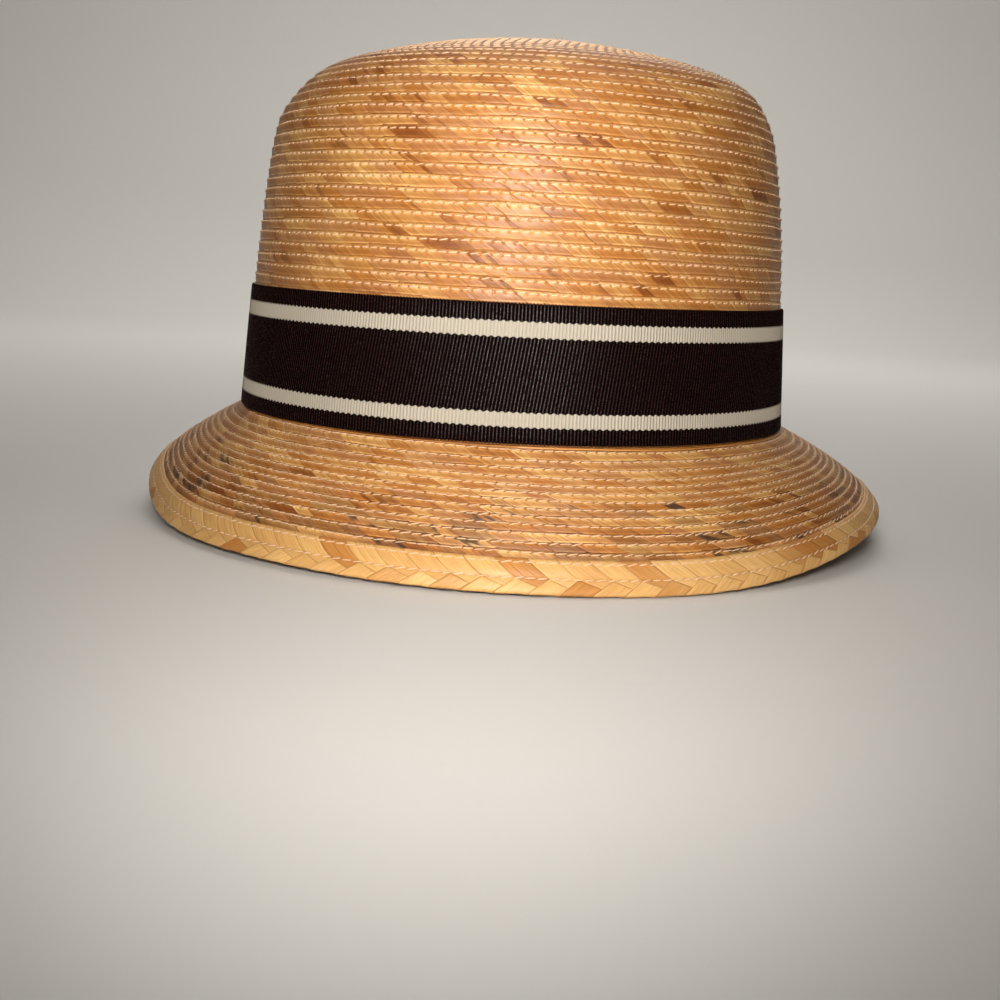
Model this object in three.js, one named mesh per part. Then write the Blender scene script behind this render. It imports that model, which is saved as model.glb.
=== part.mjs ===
// A straw hat of sewn palm braid: an oval crown with a round shoulder, a short brim that slopes down, a wide
// braid along the brim's edge and a striped ribbon round the foot of the crown.
// Millimetres, +Z up. The front of the hat faces -Y, and the hat stands on the edge of its brim.
import * as THREE from "three";

// Head and straw
const LENGTH_RATIO = 1.1; // front to back over side to side
const WALL = 2.4; // two layers of braid, from the top of a course to the inside
const GAP = 0.3; // between neighbouring pieces
const COURSE_PITCH = 3.3; // visible width of one course on the crown
const COURSE_STEP = 0.45; // how far the upper edge of a course stands over the one above it
const STEP_SHARE = 0.14; // half of the course's share that its step takes

// Ribbon
const RIBBON_WIDTH = 38;
const RIBBON_THICKNESS = 0.6;
const RIBBON_ROWS = 4;

// Brim
const BRIM_COURSES = 13;
const BRIM_ROOT = 0.2; // how far the brim starts outside the crown's face
const EDGE_WALL = 1.2; // a single layer at the rim
const SLOPE_STEP = 0.02; // course share and azimuth that the brim's slope is taken over

// Facets round the hat, and rows on the smooth inner faces
const SEGMENTS = 36;
const INSIDE_ROWS = 9;
const UNDER_ROWS = 4;
const TIP_FLAT_SHARE = 0.94; // the inside of the tip is flat from here to the centre

// Crown sections, from the ribbon's lower edge up to the tip: height over that edge, half of the section's
// width over the braid, and how far the section's middle leans to the right.
const CROWN_SECTIONS = [
  { height: 0, halfWidth: 88.5, lean: 0 },
  { height: 38, halfWidth: 86.0, lean: 0.3 },
  { height: 62, halfWidth: 84.0, lean: 0.6 },
  { height: 84, halfWidth: 80.9, lean: 0.5 },
  { height: 91, halfWidth: 79.1, lean: 0.7 },
  { height: 97, halfWidth: 75.8, lean: 1.4 },
  { height: 102, halfWidth: 71.8, lean: 2.0 },
  { height: 106, halfWidth: 66.1, lean: 2.2 },
  { height: 110, halfWidth: 54.4, lean: 2.1 },
  { height: 113.7, halfWidth: 38.6, lean: 1.8 },
  { height: 117, halfWidth: 18.8, lean: 1.5 },
  { height: 118.4, halfWidth: 0, lean: 1.4 },
];

// The brim's edge at twelve stations round the hat, from the front over the right to the back and the left:
// how far it reaches out from the crown, and how far it hangs below the ribbon.
const BRIM_STATIONS = [
  { azimuth: 0, out: 30.2, drop: 33.6 },
  { azimuth: 30, out: 30.4, drop: 33.5 },
  { azimuth: 60, out: 31.0, drop: 27.1 },
  { azimuth: 90, out: 31.7, drop: 22.4 },
  { azimuth: 120, out: 32.0, drop: 26.7 },
  { azimuth: 150, out: 32.2, drop: 33.5 },
  { azimuth: 180, out: 32.2, drop: 33.9 },
  { azimuth: 210, out: 32.2, drop: 33.5 },
  { azimuth: 240, out: 32.0, drop: 26.3 },
  { azimuth: 270, out: 31.7, drop: 22.0 },
  { azimuth: 300, out: 31.0, drop: 31.2 },
  { azimuth: 330, out: 30.4, drop: 32.7 },
];
const BRIM_LEAN = 2.2; // the edge lies this much further to the right than the crown's foot

// How the brim bends on its way out: the share of its reach and of its drop at a course, where 1 is the end
// of the last regular course and 2 the rim of the edge braid.
const BRIM_BEND = [
  { course: 0, out: 0, drop: 0 },
  { course: 0.25, out: 0.225, drop: 0.165 },
  { course: 0.5, out: 0.445, drop: 0.345 },
  { course: 0.78, out: 0.68, drop: 0.56 },
  { course: 1, out: 0.856, drop: 0.765 },
  { course: 2, out: 1, drop: 1 },
];

// Rows of the edge braid's upper face: two rounded halves with a sewn groove between them.
const EDGE_ROWS = [
  { course: 1.15, rise: 0.35 },
  { course: 1.5, rise: 0.15 },
  { course: 1.8, rise: 0.35 },
];

const STRAW = { color: 0xd49a58, roughness: 0.5, metalness: 0 };
const EDGE_STRAW = { color: 0xdca25c, roughness: 0.45, metalness: 0 };
const RIBBON = { color: 0x231512, roughness: 0.8, metalness: 0 };

const AZIMUTHS = Array.from({ length: SEGMENTS }, (_, k) => (2 * Math.PI * k) / SEGMENTS);

const crownProfile = new THREE.CatmullRomCurve3(
  CROWN_SECTIONS.map((s) => new THREE.Vector3(s.halfWidth, s.lean, s.height)),
);
crownProfile.arcLengthDivisions = 800;

const edgeLine = new THREE.CatmullRomCurve3(
  BRIM_STATIONS.map((s) => new THREE.Vector3(s.out, s.drop, 0)),
  true,
  "catmullrom",
);

const brimBend = new THREE.CatmullRomCurve3(
  BRIM_BEND.map((s) => new THREE.Vector3(s.course, s.out, s.drop)),
);

// Outward direction, in plan, of an oval section at an azimuth from the front.
function planNormal(azimuth) {
  return new THREE.Vector2(Math.sin(azimuth) * LENGTH_RATIO, -Math.cos(azimuth)).normalize();
}

// A point of the crown: share 0 is the ribbon's lower edge and 1 the centre of the tip. offset moves it
// out of the braid's face, or into the wall where it is negative.
function crownPoint(share, azimuth, offset) {
  const section = crownProfile.getPointAt(share);
  const along = crownProfile.getTangentAt(share);
  const slope = new THREE.Vector2(along.x, along.z).normalize();
  const normal = planNormal(azimuth);
  return new THREE.Vector3(
    section.y + section.x * Math.sin(azimuth) + normal.x * slope.y * offset,
    -section.x * LENGTH_RATIO * Math.cos(azimuth) + normal.y * slope.y * offset,
    section.z - slope.x * offset,
  );
}

// The share of the crown's profile at a height.
function crownShare(height) {
  let low = 0;
  let high = 1;
  while (high - low > 1e-6) {
    const middle = (low + high) / 2;
    if (crownProfile.getPointAt(middle).z < height) low = middle;
    else high = middle;
  }
  return low;
}

// A point of the brim's upper face, where the steps of its courses are highest.
function brimFace(course, azimuth) {
  const edge = edgeLine.getPoint(THREE.MathUtils.euclideanModulo(azimuth / (2 * Math.PI), 1));
  const bend = brimBend.getPoint(bendShare(course));
  const normal = planNormal(azimuth);
  const foot = CROWN_SECTIONS[0].halfWidth;
  const reach = BRIM_ROOT + edge.x * bend.y;
  return new THREE.Vector3(
    foot * Math.sin(azimuth) + normal.x * reach + BRIM_LEAN * bend.y,
    -foot * LENGTH_RATIO * Math.cos(azimuth) + normal.y * reach,
    -GAP - edge.y * bend.z,
  );
}

// Where on the bend's curve a share of the courses lies.
function bendShare(course) {
  const last = BRIM_BEND.length - 1;
  const row = Math.min(last - 1, BRIM_BEND.findLastIndex((s) => s.course <= course));
  const span = BRIM_BEND[row + 1].course - BRIM_BEND[row].course;
  return (row + (course - BRIM_BEND[row].course) / span) / last;
}

// A point of the brim, moved out of its upper face by offset.
function brimPoint(course, azimuth, offset) {
  const inner = Math.max(course - SLOPE_STEP, 0);
  const outer = Math.min(course + SLOPE_STEP, 2);
  const outward = brimFace(outer, azimuth).sub(brimFace(inner, azimuth));
  const before = brimFace(course, azimuth - SLOPE_STEP);
  const round = brimFace(course, azimuth + SLOPE_STEP).sub(before);
  return brimFace(course, azimuth).addScaledVector(outward.cross(round).normalize(), offset);
}

function ring(point, share, offset) {
  return AZIMUTHS.map((azimuth) => point(share, azimuth, offset));
}

function level(points, height) {
  points.forEach((point) => point.setZ(height));
}

// Joins rings of points into one closed skin. With poles, a fan closes the first and the last ring at a
// point, and without them the last ring joins the first.
function skin(rings, firstPole, lastPole) {
  const points = rings.flat();
  const faces = [];
  const joins = firstPole ? rings.length - 1 : rings.length;
  for (let r = 0; r < joins; r += 1) {
    const next = (r + 1) % rings.length;
    for (let k = 0; k < SEGMENTS; k += 1) {
      const a = r * SEGMENTS + k;
      const b = r * SEGMENTS + ((k + 1) % SEGMENTS);
      const c = next * SEGMENTS + k;
      const d = next * SEGMENTS + ((k + 1) % SEGMENTS);
      faces.push(a, d, b, a, c, d);
    }
  }
  if (firstPole) {
    const first = points.push(firstPole) - 1;
    const last = points.push(lastPole) - 1;
    const lastRing = (rings.length - 1) * SEGMENTS;
    for (let k = 0; k < SEGMENTS; k += 1) {
      const next = (k + 1) % SEGMENTS;
      faces.push(first, k, next);
      faces.push(last, lastRing + next, lastRing + k);
    }
  }
  const geometry = new THREE.BufferGeometry().setFromPoints(points);
  geometry.setIndex(faces);
  geometry.computeVertexNormals();
  return geometry;
}

function part(name, geometry, finish) {
  const mesh = new THREE.Mesh(geometry, new THREE.MeshStandardMaterial(finish));
  mesh.name = name;
  return mesh;
}

// The crown: plain under the ribbon, a step for each course above it, and a smooth inside with a flat tip.
function crown() {
  const ribbonTop = crownShare(RIBBON_WIDTH);
  const courses = Math.round(((1 - ribbonTop) * crownProfile.getLength()) / COURSE_PITCH);
  const course = (1 - ribbonTop) / courses;
  const outside = [];
  for (let i = 0; i < RIBBON_ROWS; i += 1) {
    outside.push(ring(crownPoint, (ribbonTop * i) / RIBBON_ROWS, 0));
  }
  for (let i = 0; i < courses; i += 1) {
    const start = ribbonTop + i * course;
    outside.push(ring(crownPoint, start - STEP_SHARE * course, 0));
    outside.push(ring(crownPoint, start + STEP_SHARE * course, -COURSE_STEP));
  }
  const inside = [];
  for (let i = 0; i <= INSIDE_ROWS; i += 1) {
    inside.push(ring(crownPoint, (TIP_FLAT_SHARE * i) / INSIDE_ROWS, -WALL));
  }
  level(outside[0], 0);
  level(inside[0], 0);
  const seat = Math.min(...inside[INSIDE_ROWS].map((point) => point.z));
  level(inside[INSIDE_ROWS], seat);
  const tip = crownPoint(1, 0, 0);
  return skin([...outside.reverse(), ...inside], tip, tip.clone().setZ(seat));
}

// The ribbon, one plain band a gap clear of the crown.
function ribbonBand() {
  const low = crownShare(GAP);
  const high = crownShare(RIBBON_WIDTH);
  const shares = Array.from({ length: RIBBON_ROWS + 1 }, (_, i) => low + ((high - low) * i) / RIBBON_ROWS);
  const face = shares.map((share) => ring(crownPoint, share, GAP + RIBBON_THICKNESS));
  const back = shares.map((share) => ring(crownPoint, share, GAP));
  return skin([...face.reverse(), ...back]);
}

// The brim: a step for each course on its upper face, a smooth underside, and a throat that meets the crown.
function brim() {
  const upper = [ring(brimPoint, 0, 0)];
  for (let i = 1; i <= BRIM_COURSES; i += 1) {
    upper.push(ring(brimPoint, (i - STEP_SHARE) / BRIM_COURSES, -COURSE_STEP));
    if (i < BRIM_COURSES) upper.push(ring(brimPoint, (i + STEP_SHARE) / BRIM_COURSES, 0));
  }
  const under = [];
  const end = 1 - STEP_SHARE / BRIM_COURSES;
  for (let i = UNDER_ROWS; i >= 0; i -= 1) {
    under.push(ring(brimPoint, (end * i) / UNDER_ROWS, -WALL));
  }
  const throat = AZIMUTHS.map((azimuth) => crownPoint(0, azimuth, -WALL).setZ(-GAP));
  return skin([...upper, ...under, throat]);
}

// The edge braid, thinner at the rim.
function edgeBraid() {
  const start = 1 + STEP_SHARE / BRIM_COURSES;
  const upper = [
    ring(brimPoint, start, 0),
    ...EDGE_ROWS.map((row) => ring(brimPoint, row.course, row.rise)),
    ring(brimPoint, 2, 0),
  ];
  const under = [
    ring(brimPoint, 2, -EDGE_WALL),
    ring(brimPoint, 1.5, (-EDGE_WALL - WALL) / 2),
    ring(brimPoint, start, -WALL),
  ];
  return skin([...upper, ...under]);
}

const hat = new THREE.Group();
hat.add(part("crown", crown(), STRAW));
hat.add(part("brim", brim(), STRAW));
hat.add(part("edge_braid", edgeBraid(), EDGE_STRAW));
hat.add(part("ribbon_band", ribbonBand(), RIBBON));

// The frame's origin is the middle of the hat's box, on the floor.
const box = new THREE.Box3().setFromObject(hat, true);
const middle = box.getCenter(new THREE.Vector3());
hat.position.set(-middle.x, -middle.y, -box.min.z);

export default hat;
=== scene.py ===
"""Dresses a sewn straw hat: the palm braid of its crown and brim, the wider braid along the edge, the thread
that sews the courses together, the striped ribbon and a few loose straw ends.

Lengths in the shape functions are millimetres from the middle of the crown's foot, at the ribbon's lower
edge. They become metres in the frame when a mesh is made. The front of the hat faces -Y.
"""

import math
from collections import namedtuple

import bmesh
import bpy
import numpy as np
from bpy.props import FloatProperty, FloatVectorProperty, IntProperty, PointerProperty
from mathutils import Matrix, Vector


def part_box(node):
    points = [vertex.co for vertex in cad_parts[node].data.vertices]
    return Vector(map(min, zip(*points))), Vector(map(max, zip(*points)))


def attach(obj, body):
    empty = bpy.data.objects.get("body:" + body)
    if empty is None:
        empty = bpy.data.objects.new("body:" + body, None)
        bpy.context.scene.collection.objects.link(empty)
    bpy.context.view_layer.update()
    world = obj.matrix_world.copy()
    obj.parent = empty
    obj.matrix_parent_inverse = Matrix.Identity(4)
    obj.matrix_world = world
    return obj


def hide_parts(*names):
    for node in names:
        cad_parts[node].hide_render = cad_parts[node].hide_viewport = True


bl_info = {
    "name": "Sewn Straw Hat",
    "version": (1, 0, 0),
    "blender": (4, 5, 0),
    "location": "3D View > Sidebar > Straw Hat",
    "description": "Builds the braid, the stitches and the ribbon of a sewn straw hat",
    "category": "Add Mesh",
}

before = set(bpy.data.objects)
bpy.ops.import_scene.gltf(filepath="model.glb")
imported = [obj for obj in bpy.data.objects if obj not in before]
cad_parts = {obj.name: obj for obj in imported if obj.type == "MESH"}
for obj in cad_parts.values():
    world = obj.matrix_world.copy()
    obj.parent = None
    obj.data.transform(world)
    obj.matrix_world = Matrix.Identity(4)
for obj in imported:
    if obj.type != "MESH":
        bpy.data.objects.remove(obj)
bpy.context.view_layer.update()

MM = 0.001
TURN = 2 * math.pi

# The crown's sections from the ribbon's lower edge up to the tip: height, half width and lean to the right.
CROWN_SECTIONS = (
    (0, 88.5, 0.0),
    (38, 86.0, 0.3),
    (62, 84.0, 0.6),
    (84, 80.9, 0.5),
    (91, 79.1, 0.7),
    (97, 75.8, 1.4),
    (102, 71.8, 2.0),
    (106, 66.1, 2.2),
    (110, 54.4, 2.1),
    (113.7, 38.6, 1.8),
    (117, 18.8, 1.5),
    (118.4, 0, 1.4),
)
LENGTH_RATIO = 1.1  # front to back over side to side
FOOT_HALF_WIDTH = CROWN_SECTIONS[0][1]

# The brim's rim every 30 degrees from the front over the right: its reach and its drop below the ribbon.
BRIM_STATIONS = (
    (30.2, 33.6),
    (30.4, 33.5),
    (31.0, 27.1),
    (31.7, 22.4),
    (32.0, 26.7),
    (32.2, 33.5),
    (32.2, 33.9),
    (32.2, 33.5),
    (32.0, 26.3),
    (31.7, 22.0),
    (31.0, 31.2),
    (30.4, 32.7),
)
BRIM_LEAN = 2.2  # the rim lies this much further to the right than the crown's foot
BRIM_ROOT = 0.2  # how far the brim starts outside the crown's face
GAP = 0.3  # between the crown and what goes round it

# How the brim bends on its way out: course share, share of the reach and share of the drop. The regular
# courses end at 1, and the edge braid's rim is at 2.
BRIM_BEND = (
    (0, 0, 0),
    (0.25, 0.225, 0.165),
    (0.5, 0.445, 0.345),
    (0.78, 0.68, 0.56),
    (1, 0.856, 0.765),
    (2, 1, 1),
)

SPIRAL_START = math.radians(-64)  # the azimuth where the first course of the crown and of the brim begins
CROWN_STITCH_SHARE = 0.22  # how far down a course of the crown its stitches run
BRIM_STITCH_SHARE = 0.15  # and down a course of the brim
STITCH_LIFT = 0.07  # the thread's middle over the ridge of its course
INSIDE_MARK = 1000  # added to the course numbers of the faces inside the hat

# How a hand-sewn course strays from its even place: how far in courses, waves to a turn and their start.
COURSE_WAVER = ((0.045, 5.31, 0), (0.035, 11.73, 1))
TIP_LEVEL = 12  # within this half width the tip's face turns level towards its centre
LINE_POINTS = 240  # to a turn of a line of thread

# A course from its upper edge to its lower one: share of its width and depth below its ridge.
COURSE_FORM = (
    (0.0, -0.6),
    (0.03, -0.25),
    (0.09, -0.04),
    (0.2, -0.08),
    (0.34, 0.0),
    (0.5, -0.03),
    (0.66, -0.14),
    (0.82, -0.36),
    (0.93, -0.66),
    (1.0, -1.0),
)

# Where the rows of points lie across a course, outside and inside the hat, and the points to a turn.
OUTSIDE_ROWS = (0.02, 0.10, 0.24, 0.42, 0.61, 0.81, 0.97)
INSIDE_ROWS = (0.05, 0.5, 0.92)
CROWN_COLUMNS = 200
BRIM_COLUMNS = 240

# Painted light and shade across a course: its upper part lighter, its lower part and creases in painted
# shade, a painted highlight on the lip.
COURSE_PAINTED_LIGHT = (
    (0.0, 0.78),
    (0.06, 0.95),
    (0.14, 1.04),
    (0.3, 1.03),
    (0.41, 0.8),
    (0.58, 0.66),
    (0.78, 0.68),
    (0.88, 0.86),
    (0.95, 0.74),
    (1.0, 0.56),
)

STRAND_SLANT = 2.9  # how far a strand runs to the right on its way down its course
STRAND_SWEEP = 1.5  # and how much further near its lower end
STRAND_DRIFT = 1.7  # how uneven the strands are, in strands
STRIP_COUNT = 3.4  # a strand is split into one to four strips, seldom into four
CROWN_PALENESS = 0.63  # where the strands' usual colour lies from brown to pale
BRIM_PALENESS = 0.79

# Which of the brim's even courses a course lies on: the first ones are wider than the last.
BRIM_COURSES = (0, 1.42, 2.66, 3.76, 4.72, 5.68, 6.54, 7.46, 8.38, 9.34, 10.2, 11.05, 11.92, 13)

EDGE_START = 0.985  # where the edge braid's upper edge lies, in shares of the brim's courses
EDGE_LINES = ((0.075, 0.36), (0.5, 0.2))  # its two rows of stitches: share of its width and lift
EDGE_COLUMNS = 480
EDGE_POINTS = 720  # along a row of its stitches
EDGE_NOTCH = 0.028  # how far its rim dips between two strands, in shares of the brim's courses
EDGE_WIDTH = 9.3  # as its strands are laid out
EDGE_MIDDLE = 4.6  # from its upper edge to the fold of its strands
# How far its strands run along it for each millimetre down: to the right above and at the fold, and to the
# left on their way back.
EDGE_DOWN_SLOPE, EDGE_FOLD_SLOPE, EDGE_BACK_SLOPE = 1.2, 2.0, 1.15

# The edge braid's upper face: share of its width from its upper edge to the rim, and rise over the brim.
EDGE_FORM = (
    (0.0, 0.1),
    (0.04, 0.34),
    (0.1, 0.28),
    (0.2, 0.4),
    (0.32, 0.42),
    (0.43, 0.3),
    (0.5, 0.12),
    (0.57, 0.3),
    (0.7, 0.42),
    (0.84, 0.4),
    (0.94, 0.3),
    (1.0, 0.05),
)
EDGE_UNDER = ((1.0, 1.15), (0.93, 1.25), (0.7, 1.5), (0.5, 1.65), (0.25, 2.1), (0.0, 2.35))

RIBBON_STRIPES = ((0.129, 0.241), (0.775, 0.879))  # where the ivory stripes lie, in shares of the width
RIBBON_WEFT = 0.42  # from one cross thread to the next
RIBBON_SKEW = 1.5  # how far the ribs lean along the ribbon, from its middle to its edges
RIBBON_EASE = 25  # from its ends, the length over which its ribs come to lean
RIBBON_EDGE = 0.2  # how much thinner its edges are
RIBBON_SWELL = 0.2  # height of its ribs
RIBBON_SCALLOP = 0.12  # how far a rib stands out at its edges
RIBBON_INSIDE = (1, 0.75, 0.5, 0.25, 0)  # its rows of points on the inside, in shares of the width
RIBBON_POINTS = 3601  # of the way round the crown, where its length is measured
LAP_START, LAP_CLIMB = 5, 4  # its end rises this far before the start lies under it, and within this length
LAP_GAP = 0.15  # between its two layers there
SPLINTER = 0.14  # half thickness of a loose straw end

# The rows of stitches. The stitches are longer and thinner than the plain one by stretch and body, they tilt
# and wander by degrees, and the seed picks which does what.
Seam = namedtuple("Seam", "piece stretch body tilt wander seed")
CROWN_SEAM = Seam("crown_stitches", 1.02, 0.88, 7, 8, 3)
BRIM_SEAM = Seam("brim_stitches", 1.36, 0.74, 8, 9, 5)
EDGE_SEAM = Seam("edge_stitches", 1.2, 0.9, 9, 7, 8)

# A stitch from hole to hole: share of its length, rise and thickness in shares of the thread's radius.
STITCH_FORM = ((-0.5, -0.9, 0.0), (-0.33, 0.1, 0.95), (0.0, 0.45, 1.05), (0.33, 0.1, 0.95), (0.5, -0.9, 0.0))

# Loose straw ends: what they stand on, course from the tip or the ribbon, azimuth in degrees, length in
# millimetres, how far the free end stands off, and the way it points, clockwise from straight down.
LOOSE_ENDS = (
    ("crown", 9.2, 14, 5.0, 2.6, 170),
    ("crown", 9.3, 15, 4.0, 2.2, 200),
    ("crown", 9.1, 13.4, 4.4, 1.6, 150),
    ("brim", 1.2, -33, 7.0, 0.8, 60),
    ("brim", 1.0, -19, 6.0, 0.7, 62),
    ("brim", 5.8, -17, 5.0, 0.7, 75),
    ("brim", 5.0, 28, 4.0, 0.6, -60),
    ("crown", 30.3, -21, 4.5, 0.6, 70),
    ("crown", 38.4, 36, 4.0, 0.6, 65),
)

# Soft lamps: place, aim and side in metres, the spread of the beam in degrees, the watts and the tint. The
# first three stand close to the hat's front, so that its sides fall into shade.
Lamp = namedtuple("Lamp", "name spot aim side spread power tint")
WARM, SOFT, CLEAR = (1.0, 0.97, 0.92), (1.0, 0.98, 0.95), (1.0, 0.99, 0.97)
FRONT_SPOT = (-0.02, -0.48, 0.14)
LAMPS = (
    Lamp("key", FRONT_SPOT, (0, 0, 0.05), 0.08, 76, 0.04, WARM),
    Lamp("upper beam", FRONT_SPOT, (0, 0, 0.15), 0.08, 32, 0.058, WARM),
    Lamp("lower beam", FRONT_SPOT, (0, -0.05, 0.01), 0.08, 54, 0.174, WARM),
    Lamp("fill", (0.9, -0.8, 0.5), (0, 0, 0.05), 0.9, 180, 0.15, SOFT),
    Lamp("top", (0.0, 0.1, 1.3), (0, 0, 0.05), 1.0, 180, 2.1, CLEAR),
    Lamp("behind", (0.1, 1.0, 0.75), (0, 0, 0.05), 0.7, 180, 2.1, SOFT),
    Lamp("backdrop", (0.0, 0.5, 1.9), (0, 1.5, 0.5), 1.4, 110, 9.0, SOFT),
)
WORLD_STRENGTH = 0.04


# Settings

def length_setting(name, description, millimetres):
    return FloatProperty(name=name, description=description, unit="LENGTH", default=millimetres * MM)


def angle_setting(name, description, degrees):
    return FloatProperty(name=name, description=description, subtype="ANGLE", default=math.radians(degrees))


def colour_setting(name, description, colour):
    return FloatVectorProperty(name=name, description=description, subtype="COLOR", default=colour)


class BraidSizes(bpy.types.PropertyGroup):
    course_pitch: length_setting("Course pitch", "Width of one course that shows on the crown", 3.275)
    course_rise: length_setting("Course rise", "Depth of the crease between two courses", 0.36)
    inside_rise: length_setting("Inside rise", "Depth of the creases inside the hat", 0.3)
    wall: length_setting("Wall", "Two layers of braid, from a ridge to the inside", 2.4)
    brim_courses: IntProperty(name="Brim courses", description="Regular courses on the brim", default=13)
    strand: length_setting("Strand", "Usual length of a strand that shows along a course", 8.2)
    edge_strand: length_setting("Edge strand", "Width of the edge braid's strands along the rim", 8.4)


class ThreadSizes(bpy.types.PropertyGroup):
    pitch: length_setting("Stitch pitch", "From one stitch to the next", 3.0)
    length: length_setting("Stitch length", "Thread that shows between two holes", 2.6)
    thickness: length_setting("Thread", "Diameter of the thread", 0.46)
    colour: colour_setting("Thread colour", "Cream thread", (0.78, 0.53, 0.335))


class StrawColours(bpy.types.PropertyGroup):
    cream: colour_setting("Cream", "Palest strands of the edge", (0.76, 0.445, 0.165))
    pale: colour_setting("Pale", "Palest strands", (0.69, 0.385, 0.13))
    honey: colour_setting("Honey", "Common yellow strands", (0.60, 0.30, 0.094))
    tan: colour_setting("Tan", "Common orange strands", (0.51, 0.215, 0.05))
    rose: colour_setting("Rose", "Pinkish strands", (0.49, 0.225, 0.09))
    brown: colour_setting("Brown", "Darker strands", (0.285, 0.092, 0.015))
    dark: colour_setting("Dark", "Stained strands", (0.045, 0.025, 0.016))


class RibbonSizes(bpy.types.PropertyGroup):
    width: length_setting("Ribbon width", "From edge to edge", 37.7)
    thickness: length_setting("Ribbon thickness", "With its ribs", 0.6)
    rib: length_setting("Rib", "From rib to rib", 1.0)
    lap: length_setting("Lap", "How far the end lies over the start", 14)
    dark: colour_setting("Ground", "Dark brown ground", (0.0075, 0.0018, 0.0014))
    # Its flecks lie on the ribs' crests: lighter threads, and partly a painted highlight.
    fleck: colour_setting("Fleck", "Lighter threads in the ground", (0.07, 0.026, 0.02))
    ivory: colour_setting("Stripe", "Ivory stripes", (0.52, 0.46, 0.37))


class StageSettings(bpy.types.PropertyGroup):
    floor: colour_setting("Floor", "Pale floor and backdrop", (0.78, 0.76, 0.72))
    camera_back: length_setting("Camera distance", "From the crown's middle", 479)
    camera_up: length_setting("Camera height", "Over the ribbon's lower edge", 48.45)
    camera_yaw: angle_setting("Yaw", "To the right", -0.26)
    camera_pitch: angle_setting("Pitch", "Downwards", 9.47)
    camera_roll: angle_setting("Roll", "Anticlockwise", 2.84)
    lens: FloatProperty(name="Lens", description="Focal length in millimetres", default=51.23)


class HatSettings(bpy.types.PropertyGroup):
    braid: PointerProperty(type=BraidSizes, name="Braid", description="Sizes of the braid")
    thread: PointerProperty(type=ThreadSizes, name="Thread", description="The sewing thread")
    straw: PointerProperty(type=StrawColours, name="Straw", description="Colours of the strands")
    ribbon: PointerProperty(type=RibbonSizes, name="Ribbon", description="The ribbon's sizes and colours")
    stage: PointerProperty(type=StageSettings, name="Stage", description="Floor, camera and light")


# Curves and surfaces

def smooth_curve(points, closed=False):
    """Cubic pieces of a curve through the points: Catmull-Rom, centripetal where it is open."""
    points = np.array(points, float)
    if closed:
        ring = np.vstack([points[-1:], points, points[:2]])
    else:
        ring = np.vstack([2 * points[0] - points[1], points, 2 * points[-1] - points[-2]])
    pieces = []
    for i in range(1, len(ring) - 2):
        before, start, end, after = ring[i - 1:i + 3]
        if closed:
            leave, arrive = (end - before) / 2, (after - start) / 2
        else:
            d0, d1, d2 = (
                max(np.sum((p - q) ** 2) ** 0.25, 1e-4)
                for p, q in ((before, start), (start, end), (end, after))
            )
            leave = ((start - before) / d0 - (end - before) / (d0 + d1)) * d1 + (end - start)
            arrive = ((after - end) / d2 - (after - start) / (d1 + d2)) * d1 + (end - start)
        square, cube = 3 * (end - start) - 2 * leave - arrive, 2 * (start - end) + leave + arrive
        pieces.append((start, leave, square, cube))
    return np.array(pieces)


def on_curve(curve, share):
    """Points and directions of a curve at shares of its way."""
    place = np.clip(share, 0, 1) * len(curve)
    piece = np.minimum(place.astype(int), len(curve) - 1)
    t = (place - piece)[..., None]
    a, b, c, d = (curve[piece][..., k, :] for k in range(4))
    return a + t * (b + t * (c + t * d)), b + t * (2 * c + 3 * t * d)


def lengths_along(points):
    """The way along a line from its first point to each of its points."""
    return np.concatenate([[0], np.cumsum(np.linalg.norm(np.diff(points, axis=0), axis=1))])


CROWN_CURVE = smooth_curve([(half, lean, height) for height, half, lean in CROWN_SECTIONS])
EDGE_CURVE = smooth_curve(BRIM_STATIONS, closed=True)
BEND_CURVE = smooth_curve(BRIM_BEND)
CROWN_SHARES = np.linspace(0, 1, 4001)
CROWN_UP = lengths_along(on_curve(CROWN_CURVE, CROWN_SHARES)[0])  # length of the profile from the foot
CROWN_LENGTH = CROWN_UP[-1]


def plan_normal(azimuth):
    """Outward direction, in plan, of the oval at an azimuth from the front."""
    x, y = np.sin(azimuth) * LENGTH_RATIO, -np.cos(azimuth)
    size = np.hypot(x, y)
    return x / size, y / size


def crown_surface(down, azimuth, offset=0.0):
    """Points of the crown's face, down so far from the centre of the tip, and their outward directions."""
    share = np.interp(CROWN_LENGTH - down, CROWN_UP, CROWN_SHARES)
    point, way = on_curve(CROWN_CURVE, share)
    half, lean, height = np.moveaxis(point, -1, 0)
    slope = np.hypot(way[..., 0], way[..., 2])
    out, up = way[..., 2] / slope * np.minimum(half / TIP_LEVEL, 1), -way[..., 0] / slope
    nx, ny = plan_normal(azimuth)
    outward = np.stack([nx * out, ny * out, up + 0 * nx], -1)
    outward /= np.linalg.norm(outward, axis=-1, keepdims=True)
    face = np.stack(
        [lean + half * np.sin(azimuth), -half * LENGTH_RATIO * np.cos(azimuth), height + 0 * azimuth], -1
    )
    return face + outward * np.asarray(offset)[..., None], outward


def brim_face(course, azimuth):
    """Points of the brim's upper face where its courses are highest."""
    rim = on_curve(EDGE_CURVE, np.mod(azimuth / TURN, 1))[0]
    marks = np.array([row[0] for row in BRIM_BEND])
    bend = on_curve(BEND_CURVE, np.interp(course, marks, np.linspace(0, 1, len(marks))))[0]
    nx, ny = plan_normal(azimuth)
    reach = BRIM_ROOT + rim[..., 0] * bend[..., 1]
    return np.stack([
        FOOT_HALF_WIDTH * np.sin(azimuth) + nx * reach + BRIM_LEAN * bend[..., 1],
        -FOOT_HALF_WIDTH * LENGTH_RATIO * np.cos(azimuth) + ny * reach,
        -GAP - rim[..., 1] * bend[..., 2],
    ], -1)


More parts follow.
